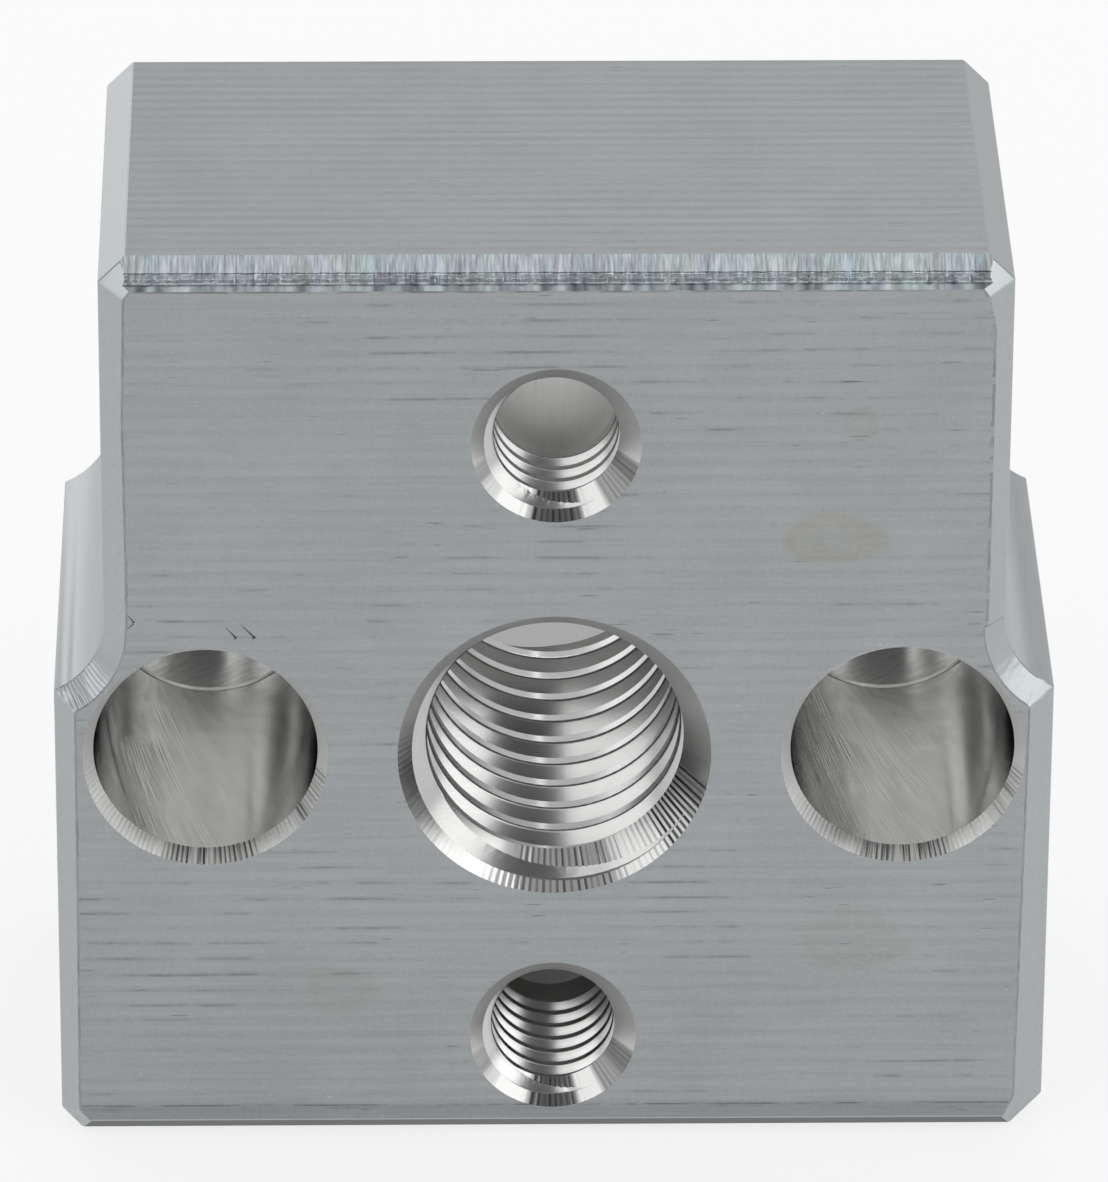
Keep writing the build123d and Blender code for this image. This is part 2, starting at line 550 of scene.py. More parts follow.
def front_stains(tree, place):
    """Where the stains are, from 0 to 1. A stain is a place, two half widths and a strength."""
    x, _, height = split(tree, place)
    wobble = calc(tree, "MULTIPLY", calc(tree, "SUBTRACT", noise_value(tree, place, 1.1, 3.0), 0.5), 1.2)
    stained = None
    for stain_x, stain_z, half_width, half_height, strength in stains:
        aside = calc(tree, "DIVIDE", calc(tree, "SUBTRACT", x, stain_x), half_width)
        above = calc(tree, "DIVIDE", calc(tree, "SUBTRACT", height, stain_z), half_height)
        squares = calc(tree, "ADD", calc(tree, "POWER", aside, 2.0), calc(tree, "POWER", above, 2.0))
        reach = calc(tree, "ADD", calc(tree, "SQRT", squares), wobble)
        rim = rescale(tree, reach, 0.2, 0.95, 0.3, 1.0)
        stain = calc(tree, "MULTIPLY", rescale(tree, reach, 1.2, 0.9), rim)
        stain = calc(tree, "MULTIPLY", stain, strength)
        stained = stain if stained is None else calc(tree, "MAXIMUM", stained, stain)
    return stained


# %% Flat milled faces
LINES_ACROSS_HEIGHT = (-math.pi / 2, 0.0, 0.0)
LINES_ACROSS_DEPTH = (0.0, 0.0, 0.0)
LINES_ON_SIDES = (0.0, -math.pi / 2, math.pi / 2)
NO_STRETCH = (1.0, 1.0, 1.0)


def milled_finish(name, tone, turn, lines, dash_amount, marked=False):
    """Straight milling lines with fine streaks, dashes and specks."""
    material, tree, shader, place = metal_finish(name, 0.42)
    laid = stretched(tree, place, NO_STRETCH, turn)
    cut_lines = {"Vector": laid, "Spacing": lines["spacing"], "Patches": lines["patches"]}
    cut_lines = use_group(tree, lines_group, cut_lines).outputs
    marks = use_group(tree, dashes_group, {"Vector": laid, "Amount": dash_amount}).outputs
    streaks = streaks_of(tree, laid, 3.0, 0.09)
    cloud = calc(tree, "SUBTRACT", noise_value(tree, laid, 0.35, 3.0), 0.5)
    grain = calc(tree, "SUBTRACT", noise_value(tree, laid, 9.0, 2.0), 0.5)
    tones = [
        (cut_lines["Height"], lines["tone"]),
        (cut_lines["Grooves"], lines["groove_tone"]),
        (streaks, 0.20),
        (grain, 0.16),
        (cloud, 0.16),
        (marks["Dashes"], -0.30),
        (marks["Specks"], 0.30),
    ]
    stain = None
    if marked:
        tones += front_marks(tree, place)
        stain = front_stains(tree, place)
    set_tone(tree, shader, metal_tint * tone, add_up(tree, *tones), stain)
    heights = [
        (cut_lines["Height"], lines["height"]),
        (cut_lines["Grooves"], -0.002),
        (streaks, 0.0010),
        (marks["Dashes"], -0.003),
        (marks["Specks"], 0.004),
    ]
    set_height(tree, shader, add_up(tree, *heights))
    return material


front_lines = {"spacing": 0.467, "height": 0.0016, "tone": 0.05, "groove_tone": -0.27, "patches": 0.5}
top_lines = {"spacing": 0.49, "height": 0.0036, "tone": 0.08, "groove_tone": -0.08, "patches": 0.4}
side_lines = {"spacing": 0.47, "height": 0.0016, "tone": 0.04, "groove_tone": -0.15, "patches": 0.7}
front_face = milled_finish("milled_front", 0.389, LINES_ACROSS_HEIGHT, front_lines, 0.15, marked=True)
top_face = milled_finish("milled_top", 0.366, LINES_ACROSS_DEPTH, top_lines, 0.1)
side_face = milled_finish("milled_sides", 0.40, LINES_ON_SIDES, side_lines, 0.2)

# %% [markdown]
# A chamfer cutter and a form cutter leave a smooth face with fine streaks along their path. The streaks
# run along X in their group, so each finish turns its pattern space the way its own tool went.

# %% Cut edges


def cut_finish(name, colour, rough, streak, turn, height, contrast):
    """A smooth cut with streaks of a given length and width, which change its height and its tone."""
    material, tree, shader, place = metal_finish(name, rough)
    streaks = streaks_of(tree, stretched(tree, place, NO_STRETCH, turn), *streak)
    set_tone(tree, shader, colour, calc(tree, "MULTIPLY", streaks, contrast))
    set_height(tree, shader, calc(tree, "MULTIPLY", streaks, height))
    return material


ALONG_WIDTH = (0.0, 0.0, 0.0)
ALONG_DEPTH = (0.0, 0.0, -math.pi / 2)
SLANTED = (0.3, 0.7, 0.4)
UPRIGHT = (0.0, math.pi / 2, 0.0)
chamfer_cut = cut_finish("chamfer_cut", metal_tint * 0.43, 0.32, (0.6, 0.10), SLANTED, 0.0008, 0.16)
# The bottom chamfer is painted very dark: painted shade that stands in for the shadowed floor under the
# block, which the chamfer mirrors.
bottom_painted_shade = cut_finish("bottom_painted_shade", metal_tint * 0.11, 0.40, (2.0, 0.06), ALONG_WIDTH, 0.0008, 0.40)
relief_cut = cut_finish("relief_cut", metal_tint * 0.45, 0.34, (4.0, 0.12), ALONG_DEPTH, 0.0012, 0.10)
# The burr finish is rough torn metal, and its darker tone is painted shade along the burrs at the inner
# edges of the chamfers and in the nicks.
burr_with_painted_shade = cut_finish("burr_with_painted_shade", metal_tint * 0.31, 0.45, (0.4, 0.05), UPRIGHT, 0.004, 0.8)

# %% [markdown]
# The cutter sang while it made the chamfer between the top and the front. Each of its fine lines stands
# upright and catches the light in its own way, some bluish, some like cream. Slow and quick noise along X
# give the lines, and a faint colour noise tints them. Across the depth of the chamfer the tone is painted in
# bands: darker below the bright chamfer, lifted part way at the fine step, and darker again on the lip.
# These bands are painted shade for the steeper band and the lip.

# %% The chattered top edge
lower_band_from = (0.36, 0.42)
lip_from = (0.60, 0.66)
# Where the painted shade begins below the top, and where it is lifted part way.
painted_shade_step_at = (0.385, 0.40)
painted_shade_lift_at = (0.49, 0.51)
chatter_and_painted_shade, tree, shader, place = metal_finish("chatter_and_painted_shade", 0.26)
sideways = stretched(tree, place, (1.0, 0.12, 0.12))
wide_lines = noise_value(tree, sideways, 3.2, 1.0)
thin_lines = noise_value(tree, sideways, 14.0, 2.0)
torn = noise_value(tree, place, 7.0, 3.0)
below_top = calc(tree, "SUBTRACT", cad_high.z / MM, split(tree, place)["Z"])
lower_band = rescale(tree, below_top, *lower_band_from)
lip_band = rescale(tree, below_top, *lip_from)
torn_band = calc(tree, "SUBTRACT", lower_band, lip_band)
crisp = add_up(tree, (1.0, 1.7), (lower_band, -1.0), (lip_band, -0.6))
# The steps and the lip band paint the tone darker: painted shade on the steeper band and the lip.
tones = add_up(
    tree,
    (calc(tree, "SUBTRACT", wide_lines, 0.5), 0.6),
    (calc(tree, "MULTIPLY", calc(tree, "SUBTRACT", thin_lines, 0.5), crisp), 1.0),
    (calc(tree, "MULTIPLY", calc(tree, "SUBTRACT", torn, 0.5), torn_band), 0.6),
    (rescale(tree, below_top, *painted_shade_step_at), -0.42),
    (rescale(tree, below_top, *painted_shade_lift_at), 0.28),
    (lip_band, -0.635),
)
tint_noise = add_node(tree, "ShaderNodeTexNoise", {"Vector": sideways, "Scale": 2.4, "Detail": 1.0})
tint_parts = {0: tint_noise.outputs["Color"], 1: (0.15, 0.08, 0.16), 2: (0.59, 0.70, 0.69)}
tint = vector_step(tree, "MULTIPLY_ADD", tint_parts)
set_tone(tree, shader, tint, tones)
shake = (calc(tree, "SUBTRACT", thin_lines, 0.5), 0.010)
tear = (calc(tree, "MULTIPLY", torn, torn_band), 0.018)
set_height(tree, shader, add_up(tree, shake, tear))

# %% [markdown]
# A countersink rests on the lower side of its cone and burnishes it, so there the metal is smooth and
# glossy. The upper side stays matt, and its tone is painted lighter or darker than that of the lower side:
# painted light and shade by the way the cone faces. In zones round the hole where the tool trembled, dark
# lines between the ribs are painted shade. A zone is written as the angles between which it lies, counted
# from the right like those of a clock that runs backwards, and its strength.

# %% Countersunk rims
STRAIGHT_DOWN = 270
BELOW_ONLY = (0.15, -0.25)
MOSTLY_MATT = (0.75, 0.45)
# How much the painted shade between the ribs darkens the metal.
rib_shade_depth = -0.9


def rib_shade_share(tree, turn, rib_shade_zones):
    """How strongly the painted shade between the ribs lies on a place, from 0 to 1, by its angle round the
    hole.
    """
    shaded = None
    for first, last, strength in rib_shade_zones:
        half = math.radians(last - first) / 2
        away = distance(tree, turn, math.radians((first + last) / 2 - STRAIGHT_DOWN))
        inside = calc(tree, "MULTIPLY", rescale(tree, away, half, 0.8 * half), strength)
        shaded = inside if shaded is None else calc(tree, "MAXIMUM", shaded, inside)
    return shaded


def rim_finish(name, x, z, look):
    """A cone that is glossy below and matt above, with a painted tone by the way it faces, and painted shade
    between its ribs.
    """
    material, tree, shader, place = metal_finish(name, 0.2)
    turn = round_axis(tree, place, x, z)["Turn"]
    facing_up = split(tree, add_node(tree, "ShaderNodeTexCoord").outputs["Normal"])["Z"]
    matt_and_painted_side = rescale(tree, facing_up, *look["matt_range"])
    tree.links.new(rescale(tree, matt_and_painted_side, 0.0, 1.0, 0.2, 0.55), shader.inputs["Roughness"])
    round_line = joined(tree, turn, x / MM, z / MM)
    phase = add_up(tree, (turn, look["count"]), (noise_value(tree, round_line, 3.0), 9.0))
    uneven = rescale(tree, noise_value(tree, round_line, 13.0), 0.30, 0.55)
    lines = calc(tree, "MULTIPLY", rescale(tree, calc(tree, "SINE", phase), -0.1, 0.7), uneven)
    lines = add_up(tree, (lines, 1 - look["solid"]), (1.0, look["solid"]))
    dark = calc(tree, "MULTIPLY", lines, rib_shade_share(tree, turn, look["rib_shade_zones"]))
    # The upper side gets a painted tone, painted light and shade by the way the cone faces, and the lines
    # get painted shade between the ribs.
    change = add_up(tree, (matt_and_painted_side, look["upper_side_painted_tone"] / look["tone"] - 1), (dark, rib_shade_depth))
    set_tone(tree, shader, warm_tint * look["tone"], change)
    return material


# Each look gives the tone of the cone, the painted tone of its upper side, and the zones of painted shade
# between its ribs.
centre_rim_look = {
    "tone": 0.62,
    "upper_side_painted_tone": 0.60,
    "matt_range": BELOW_ONLY,
    "count": 140,
    "solid": 0.25,
    "rib_shade_zones": [(252, 296, 0.9), (316, 349, 1.0), (290, 316, 0.3), (196, 222, 0.3)],
}
small_rim_look = {
    "tone": 0.55,
    "upper_side_painted_tone": 0.50,
    "matt_range": BELOW_ONLY,
    "count": 83,
    "solid": 0.80,
    "rib_shade_zones": [(249, 291, 1.0), (306, 348, 0.8), (194, 226, 0.35)],
}
bore_rim_look = {
    "tone": 0.8,
    "upper_side_painted_tone": 0.98,
    "matt_range": MOSTLY_MATT,
    "count": 140,
    "solid": 0.25,
    "rib_shade_zones": [(246, 298, 0.9), (318, 352, 0.7), (205, 246, 0.3)],
}
centre_rim_cut = rim_finish("centre_rim_cut", 0.0, hole_row_z, centre_rim_look)
upper_rim_cut = rim_finish("upper_rim_cut", 0.0, upper_hole_z, small_rim_look)
lower_rim_cut = rim_finish("lower_rim_cut", 0.0, lower_hole_z, small_rim_look)
left_rim_cut = rim_finish("left_rim_cut", -bore_x, hole_row_z, bore_rim_look)
right_rim_cut = rim_finish("right_rim_cut", bore_x, hole_row_z, bore_rim_look)

# %% [markdown]
# A tap leaves its thread smooth enough to mirror the lamps. The tone follows the distance from the axis,
# so the crests can have one tone and the flanks another, and faint streaks cross both.

# %% Threads
crest_fade = (0.03, 0.13)


def thread_finish(name, z, crest_radius, crest_tone, flank_tone, rough):
    """A tapped wall whose tone goes from the crest's to the flank's over a tenth of a millimetre."""
    material, tree, shader, place = metal_finish(name, rough)
    radius = round_axis(tree, place, 0.0, z)["Radius"]
    fade_from, fade_to = (crest_radius / MM + step for step in crest_fade)
    tone = rescale(tree, radius, fade_from, fade_to, crest_tone, flank_tone)
    streaks = streaks_of(tree, place, 1.5, 0.10)
    tone = calc(tree, "MULTIPLY", tone, add_up(tree, (streaks, 0.12), (1.0, 1.0)))
    set_tone(tree, shader, warm_tint, calc(tree, "SUBTRACT", tone, 1.0))
    set_height(tree, shader, calc(tree, "MULTIPLY", streaks, 0.001))
    return material


centre_thread_cut = thread_finish("centre_thread_cut", hole_row_z, centre_radius, 0.52, 0.54, 0.22)
upper_thread_cut = thread_finish("upper_thread_cut", upper_hole_z, small_radius, 0.52, 0.56, 0.24)
lower_thread_cut = thread_finish("lower_thread_cut", lower_hole_z, small_radius, 0.52, 0.63, 0.22)

# %% [markdown]
# The bores are reamed smooth, so their walls mirror their own floors and the studio. Slanted scratches
# lie on them in patches, most of them low on the left, where the chips were drawn out.

# %% Bores
LOW_LEFT = math.radians(225 - STRAIGHT_DOWN)
scratch_slant = 0.30


def bored_finish(name, x, tone, rough):
    """A smooth bored wall with broad streaks and with slanted scratches in patches."""
    material, tree, shader, place = metal_finish(name, rough)
    around = round_axis(tree, place, x, hole_row_z, scratch_slant)
    laid = joined(tree, around["Depth"], around["Round"])
    broad = streaks_of(tree, laid, 6.0, 0.5)
    fine = streaks_of(tree, laid, 2.2, 0.06)
    patch = rescale(tree, noise_value(tree, stretched(tree, place, (0.6, 0.35, 0.6)), 1.0, 2.0), 0.45, 0.62)
    low_left = rescale(tree, distance(tree, around["Turn"], LOW_LEFT), 0.65, 0.25)
    patch = calc(tree, "MULTIPLY", patch, calc(tree, "MAXIMUM", low_left, 0.35))
    scratches = calc(tree, "MULTIPLY", fine, calc(tree, "ADD", patch, 0.05))
    set_tone(tree, shader, warm_tint * tone, add_up(tree, (broad, 0.30), (scratches, 2.0)))
    set_height(tree, shader, add_up(tree, (broad, 0.004), (scratches, 0.016)))
    return material


ACROSS = (0.0, 0.5, 0.0)
left_bore_wall = bored_finish("left_bore_wall", -bore_x, 0.73, 0.11)
right_bore_wall = bored_finish("right_bore_wall", bore_x, 0.73, 0.11)
bore_floor = cut_finish("bore_floor", warm_tint * 0.74, 0.22, (0.5, 0.10), ACROSS, 0.0008, 0.6)
small_floor = cut_finish("small_floor", warm_tint * 0.90, 0.60, (0.8, 0.10), UPRIGHT, 0.0008, 0.15)
print("finishes:", [material.name for material in bpy.data.materials])

# %% [markdown]
# The sizes below are those of the real part in millimetres. The overall box comes from the frame. Burrs
# and other marks stand out from the milled faces by a few hundredths of a millimetre, so the faces
# themselves lie that far inside the box.

# %% Sizes
skin = 0.02 * MM
front_y = cad_low.y + skin
back_y = cad_high.y
top_z = cad_high.z - skin
lower_x = cad_high.x

shoulder_width = 1.35 * MM
shoulder_height = 13.42 * MM
relief_radius = 2.25 * MM
top_side_chamfer = 0.7 * MM
bottom_left_chamfer = 0.55 * MM
bottom_right_chamfer = 0.85 * MM
side_chamfer = 0.6 * MM
top_front_chamfer = 0.72 * MM
bottom_front_chamfer = 0.46 * MM
back_break = 0.25 * MM
edge_softness = 0.03 * MM

upper_x = lower_x - shoulder_width
relief_turn = math.acos(1 - shoulder_width / relief_radius)
relief_centre_x = upper_x + relief_radius
relief_centre_z = shoulder_height + relief_radius * math.sin(relief_turn)
relief_low = relief_centre_z - relief_radius

# %% [markdown]
# Blender's operators act on what is selected. These helpers pick faces, edges or corners by their place,
# so that each step reads like a machinist's note: this edge, this much. Once in many runs a cut leaves a
# bit of its tool outside the block. So each cut is measured, and a bad one is made again with the tool
# moved by less than a thousandth of a millimetre.

# %% Helpers for picking and cutting
same_place = 0.0005 * MM
nudge = 0.0004 * MM
most_trials = 4


def alone(piece):
    """Select one object and nothing else."""
    bpy.ops.object.select_all(action="DESELECT")
    piece.select_set(True)
    bpy.context.view_layer.objects.active = piece


def near(value, target, reach=TINY):
    return abs(value - target) < reach


def pick_parts(piece, kind, test):
    """Open a piece in edit mode with only those parts selected whose corners pass the test together."""
    alone(piece)
    bpy.ops.object.mode_set(mode="EDIT")
    bpy.ops.mesh.select_mode(type=kind)
    bpy.ops.mesh.select_all(action="DESELECT")
    bpy.ops.object.mode_set(mode="OBJECT")
    mesh = piece.data
    parts = {"VERT": mesh.vertices, "EDGE": mesh.edges, "FACE": mesh.polygons}[kind]
    count = 0
    for part in parts:
        indices = [part.index] if kind == "VERT" else part.vertices
        part.select = test([mesh.vertices[index].co for index in indices])
        count += part.select
    bpy.ops.object.mode_set(mode="EDIT")
    return count


def pick(piece, kind, test):
    """The same with a test that each corner has to pass."""
    return pick_parts(piece, kind, lambda corners: all(test(at) for at in corners))


def close_piece():
    bpy.ops.object.mode_set(mode="OBJECT")


def open_edges(piece):
    """How many edges are not shared by exactly two faces. A sound solid has none."""
    uses = {}
    for face in piece.data.polygons:
        for key in face.edge_keys:
            uses[key] = uses.get(key, 0) + 1
    return sum(count != 2 for count in uses.values())


def measures(piece):
    """The box round a closed piece, and its volume as the sum of cones from the origin to its faces."""
    places = [vertex.co for vertex in piece.data.vertices]
    low = Vector([min(at[axis] for at in places) for axis in range(3)])
    high = Vector([max(at[axis] for at in places) for axis in range(3)])
    volume = sum(face.center.dot(face.normal) * face.area for face in piece.data.polygons) / 3
    return low, high, volume


def clean_cut(before, after, tool_volume):
    """Whether a cut took no more than the tool from the piece, and left nothing outside its old box."""
    inside = all(after[0][axis] > before[0][axis] - same_place for axis in range(3))
    inside = inside and all(after[1][axis] < before[1][axis] + same_place for axis in range(3))
    return inside and before[2] - after[2] < 1.01 * tool_volume


def carve(piece, tool):
    """Subtract a tool from a piece. The cut keeps the finish that the tool carries."""
    print("tool", tool.name, "open edges", open_edges(tool), "piece open edges", open_edges(piece))
    before = measures(piece)
    tool_volume = measures(tool)[2]
    uncut = piece.data.copy()
    for trial in range(most_trials):
        if trial:
            print(tool.name, "left something behind, so it cuts again")
            piece.data = uncut.copy()
            tool.location.y += nudge
        alone(piece)
        bpy.ops.object.modifier_add(type="BOOLEAN")
        cut = piece.modifiers[-1]
        cut.operation = "DIFFERENCE"
        cut.solver = "EXACT"
        cut.material_mode = "TRANSFER"
        cut.object = tool
        bpy.ops.object.modifier_apply(modifier=cut.name)
        if clean_cut(before, measures(piece), tool_volume):
            break
    bpy.data.meshes.remove(uncut)
    bpy.data.objects.remove(tool)
    bpy.ops.object.mode_set(mode="EDIT")
    bpy.ops.mesh.select_all(action="SELECT")
    bpy.ops.mesh.remove_doubles(threshold=same_place)
    bpy.ops.mesh.dissolve_degenerate(threshold=same_place)
    close_piece()
    print("cut leaves", len(piece.data.polygons), "faces,", open_edges(piece), "open edges")


def add_block(name, low, high):
    """A cube primitive stretched between two corners."""
    bpy.ops.object.select_all(action="DESELECT")
    low = Vector(low)
    high = Vector(high)
    bpy.ops.mesh.primitive_cube_add(size=1, location=(low + high) / 2, scale=high - low)
    piece = bpy.context.object
    piece.name = name
    bpy.ops.object.transform_apply(location=True, rotation=True, scale=True)
    return piece


# %% [markdown]
# The blank is as wide as the lower part and as high as the block. It stops short of the front and back by
# the width of the chamfers there, because the chamfers are made by insetting those two faces and pushing
# them out. The cutter that makes a shoulder is a bar with one rounded edge, and that edge leaves the
# concave relief above the shoulder.

# %% Blank and shoulders
block = add_block(
    "milled_block",
    (-lower_x, front_y + side_chamfer, 0),
    (lower_x, back_y - back_break, top_z),
)
cutter_reach = 2 * relief_radius
for side in (-1, 1):
    inner = side * upper_x
    outer = side * (upper_x + cutter_reach)
    cutter = add_block(
        "shoulder_cutter",
        (min(inner, outer), cad_low.y - cutter_reach, relief_low),
        (max(inner, outer), back_y + cutter_reach, top_z + cutter_reach),
    )
    pick(cutter, "EDGE", lambda at: near(abs(at.x), upper_x) and near(at.z, relief_low))
    bpy.ops.mesh.bevel(offset=relief_radius, segments=20, affect="EDGES")
    close_piece()
    carve(block, cutter)

# %% Chamfers along the sides
long_edges = [
    (-upper_x, top_z, top_side_chamfer),
    (upper_x, top_z, top_side_chamfer),
    (-lower_x, 0.0, bottom_left_chamfer),
    (lower_x, 0.0, bottom_right_chamfer),
]
for x, z, width in long_edges:
    pick(block, "EDGE", lambda at: near(at.x, x) and near(at.z, z))
    bpy.ops.mesh.bevel(offset=width, segments=1, affect="EDGES")
    close_piece()

# %% Chamfers round the front and the back
blank_front = front_y + side_chamfer
pick(block, "FACE", lambda at: near(at.y, blank_front))
bpy.ops.mesh.inset(thickness=side_chamfer, depth=side_chamfer, use_even_offset=True)
close_piece()
pick(block, "FACE", lambda at: near(at.y, back_y - back_break))
bpy.ops.mesh.inset(thickness=back_break, depth=back_break, use_even_offset=True)
close_piece()


def mend_inner_corner(side, face_y, width):
    """Draw together the inset points that the sharp corner of a shoulder leaves beyond the inner outline."""
    corner_x = lower_x - width
    across = relief_centre_x - corner_x
    corner_z = relief_centre_z - math.sqrt((relief_radius + width) ** 2 - across**2)

    def beyond(at):
        return near(at.y, face_y) and side * at.x > corner_x - TINY and abs(at.z - corner_z) < width / 2

    count = pick(block, "VERT", beyond)
    bpy.ops.transform.resize(value=(0, 1, 0), center_override=(side * corner_x, face_y, corner_z))
    bpy.ops.mesh.remove_doubles(threshold=TINY / 10)
    close_piece()
    print("shoulder corner:", count, "points drawn together")


for side in (-1, 1):
    mend_inner_corner(side, front_y, side_chamfer)
    mend_inner_corner(side, back_y, back_break)

# The chamfer along the bottom of the front face is narrower than the others.
bottom_change = bottom_front_chamfer - side_chamfer
pick(block, "VERT", lambda at: near(at.y, front_y) and near(at.z, side_chamfer))
bpy.ops.transform.translate(value=(0, 0, bottom_change))
close_piece()
pick(block, "VERT", lambda at: near(at.y, blank_front) and near(at.z, 0))
bpy.ops.transform.translate(value=(0, bottom_change, 0))
close_piece()
print("blank has", len(block.data.vertices), "points")

# %% [markdown]
# The width of the two side chamfers changes along the edge. Their long edges are divided, and each point
# of the inner edge is moved to the width that the photograph shows at its height. Noise makes the edge
# ragged.

# %% Chamfer widths that wander
width_stations = {
    (-1, "upper"): [(15.8, 0.62), (17.5, 0.62), (19.3, 0.60), (21.5, 0.58), (25.2, 0.66), (25.5, 0.70)],
    (1, "upper"): [(15.8, 0.51), (17.4, 0.50), (23.0, 0.50), (24.4, 0.52), (25.1, 0.66), (25.5, 0.76)],
    (-1, "lower"): [(1.2, 0.50), (8.8, 0.55), (12.5, 0.56)],
    (1, "lower"): [(1.2, 0.80), (4.0, 0.77), (10.3, 0.70), (12.5, 0.68)],
}


def width_at(stations, z):
    """The chamfer's width at a height, straight between the stations."""
    height_here = z / MM
    if height_here <= stations[0][0]:
        return stations[0][1] * MM
    for (low, low_width), (high, high_width) in zip(stations, stations[1:]):
        if height_here <= high:
            share = (height_here - low) / (high - low)
            return (low_width + share * (high_width - low_width)) * MM
    return stations[-1][1] * MM


burr_wander = 0.015 * MM
burr_reach = {
    (-1, "upper"): 0.04 * MM,
    (1, "upper"): 0.08 * MM,
    (-1, "lower"): 0.03 * MM,
    (1, "lower"): 0.02 * MM,
}


def raggedness(side, part, at):
    """How far a burr reaches onto the front face, or a small wander on the chamfer's side of the edge."""
    z = at.z / MM
    seed = side + (5 if part == "upper" else 0)
    if at.y > front_y + TINY:
        return burr_wander * noise.noise(Vector((z * 3, seed, 0)))
    slow = 0.5 + noise.noise(Vector((z * 0.7, seed, 3)))
    quick = noise.noise(Vector((z * 2.6, seed, 6))) + 0.6 * noise.noise(Vector((z * 8, seed, 9)))
    return burr_reach[side, part] * max(0.3, slow + 0.8 * quick)


# %% Soften the edges
alone(block)
bpy.ops.object.modifier_add(type="BEVEL")
soften = block.modifiers[-1]
soften.width = edge_softness
soften.segments = 1
soften.limit_method = "ANGLE"
soften.angle_limit = math.radians(25)
bpy.ops.object.modifier_apply(modifier=soften.name)
print("softened block has", len(block.data.vertices), "points")

# %% Move the inner outline
long_edge = 3 * MM
cuts_along = 140
inner_edge_reach = 0.08 * MM


def long_front_edge(corners):
    """Whether an edge belongs to the two side chamfers and runs up the front of the block."""
    a, b = corners
    upright = near(a.x, b.x) and near(a.y, b.y) and abs(a.z - b.z) > long_edge
    return upright and a.y < front_y + side_chamfer + TINY


pick_parts(block, "EDGE", long_front_edge)
bpy.ops.mesh.subdivide(number_cuts=cuts_along)
close_piece()
moved = 0
for vertex in block.data.vertices:
    at = vertex.co
    side = 1 if at.x > 0 else -1
    for part, outer_x, low, high in (
        ("upper", upper_x, relief_centre_z - TINY, top_z),
        ("lower", lower_x, 0.0, shoulder_height),
    ):
        on_inner_edge = abs(side * at.x - (outer_x - side_chamfer)) < inner_edge_reach
        if on_inner_edge and low <= at.z <= high and at.y < front_y + inner_edge_reach:
            at.x += side * (side_chamfer - width_at(width_stations[side, part], at.z))
            at.x -= side * raggedness(side, part, at)
            moved += 1
print("inner outline:", moved, "points moved")

# %% [markdown]
# On both shoulders the chamfer cutter trembled where it turned round the relief. On the left it left
# close ribs across the chamfer, and on the right a torn, bright surface. The chamfer faces there are
# divided finely, and their points are moved out and in by a wave or by noise.

# %% Ribs on the relief chamfers
rib_pitch = 0.125 * MM
rib_height = 0.015 * MM
torn_height = 0.012 * MM
corner_low = shoulder_height - 0.45 * MM


def ramp(value, low, high):
    """0 below the low value, 1 above the high one, straight between them."""
    return max(0.0, min(1.0, (value - low) / (high - low)))


def near_relief(at):
    """Whether a corner lies by a relief, no deeper than the front chamfer."""
    in_depth = front_y - TINY < at.y < front_y + side_chamfer + TINY
    in_height = corner_low < at.z < relief_centre_z + TINY
    return in_depth and in_height and abs(at.x) > upper_x - side_chamfer - 0.2 * MM


def on_relief_chamfer(corners):
    """Whether a face is part of the chamfer round a relief."""
    depths = [at.y for at in corners]
    return max(depths) - min(depths) > side_chamfer / 2 and all(near_relief(at) for at in corners)


divided = pick_parts(block, "FACE", on_relief_chamfer)
bpy.ops.mesh.subdivide(number_cuts=7)
close_piece()
print("relief chamfers:", divided, "faces divided")
for vertex in block.data.vertices:
    if not vertex.select:
        continue
    side = 1 if vertex.co.x > 0 else -1
    across = relief_centre_x - abs(vertex.co.x)
    down = relief_centre_z - vertex.co.z
    turn = math.atan2(down, across)
    travel = turn * (relief_radius + side_chamfer / 2)
    outwards = Vector((side * math.cos(turn), -1, math.sin(turn))).normalized()
    if side < 0:
        fade = ramp(turn, 0.5, 0.75)
        own = noise.noise(vertex.co / (0.5 * MM))
        wave = math.sin(2 * math.pi * travel / rib_pitch + 2 * own)
        vertex.co += outwards * (rib_height * fade * wave * (0.7 + own))
    else:
        fade = ramp(turn, 0.35, 0.85)
        vertex.co += outwards * (torn_height * fade * noise.noise(vertex.co / (0.16 * MM)))

# %% [markdown]
# Each face now gets the finish of the tool that made it, found by the way it looks and where it lies.

# %% Finishes on the outside
block.data.materials.clear()
for material in (side_face, front_face, top_face, relief_cut, chamfer_cut, bottom_painted_shade, burr_with_painted_shade):
    block.data.materials.append(material)
finish_index = {material.name: index for index, material in enumerate(block.data.materials)}
flat_share = 0.98
for face in block.data.polygons:
    look = face.normal
    centre = face.center
    if look.y < -flat_share:
        finish = front_face
    elif look.z > flat_share and centre.z > top_z - TINY:
        finish = top_face
    # The bottom chamfer takes the finish that is painted dark as painted shade.
    elif look.y < -0.3 and look.z < -0.3 and abs(look.x) < 0.1 and centre.z < bottom_front_chamfer:
        finish = bottom_painted_shade
    # The narrow soft edges next to the front take the burr finish, whose darker tone is painted shade.
    elif near(centre.y, front_y, 1.2 * edge_softness) and look.y < -0.75 and abs(look.x) > 0.05:
        finish = burr_with_painted_shade
    elif abs(look.y) > 0.3:
        finish = chamfer_cut
    elif abs(centre.x) > upper_x - TINY and relief_low < centre.z < relief_centre_z and abs(look.z) > 0.03:
        finish = relief_cut
    elif abs(look.x) > 0.3 and abs(look.z) > 0.3:
        finish = chamfer_cut
    else:
        finish = side_face
    face.material_index = finish_index[finish.name]
